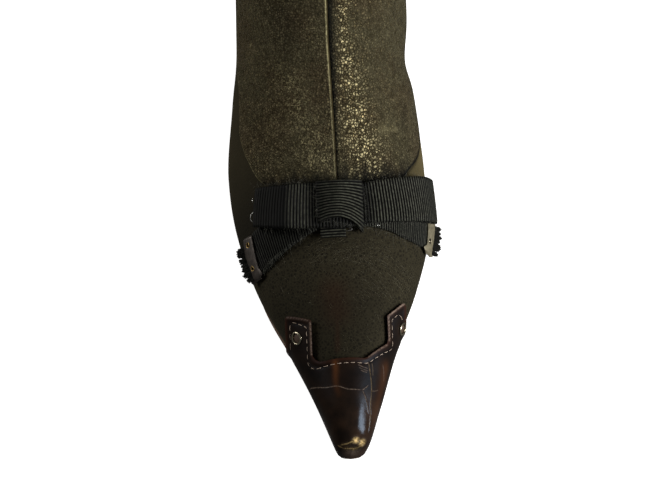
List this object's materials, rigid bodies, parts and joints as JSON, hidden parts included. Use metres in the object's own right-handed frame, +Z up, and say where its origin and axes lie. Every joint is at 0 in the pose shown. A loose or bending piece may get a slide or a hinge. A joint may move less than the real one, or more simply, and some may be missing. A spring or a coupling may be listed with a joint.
{
  "type": "ankle boot",
  "caption": "Pointed ankle boot in aged olive leather with a notched crocodile-embossed toe cap, metal eyelets and a clipped black ribbon bow over the vamp, on a covered heel.",
  "frame": {"origin": "middle of the boot's box, on the floor that sole and heel stand on", "axes": "+Z up, the toe points to -Y, the inner side of the foot lies at +X"},
  "size_m": [0.0893, 0.2872, 0.2],
  "materials": {
    "upper_leather": "aged grain",
    "cap_leather": "glossy embossed",
    "eyelet_metal": "nickel plated",
    "ribbon": "ribbed grosgrain",
    "clip_metal": "aged",
    "sole_leather": "smooth",
    "insole_leather": "smooth",
    "heel_cover": "smooth",
    "top_piece_rubber": "matte"
  },
  "bodies": {
    "root": {"upper": "upper_leather", "toe_cap": "cap_leather", "eyelet_outer": "eyelet_metal", "eyelet_inner": "eyelet_metal", "bow_loops": "ribbon", "bow_knot": "ribbon", "bow_tail_outer": "ribbon", "bow_tail_inner": "ribbon", "clip_outer": "clip_metal", "clip_inner": "clip_metal", "outsole": "sole_leather", "insole": "insole_leather", "heel": "heel_cover", "heel_top_piece": "top_piece_rubber"}
  },
  "joints": []
}
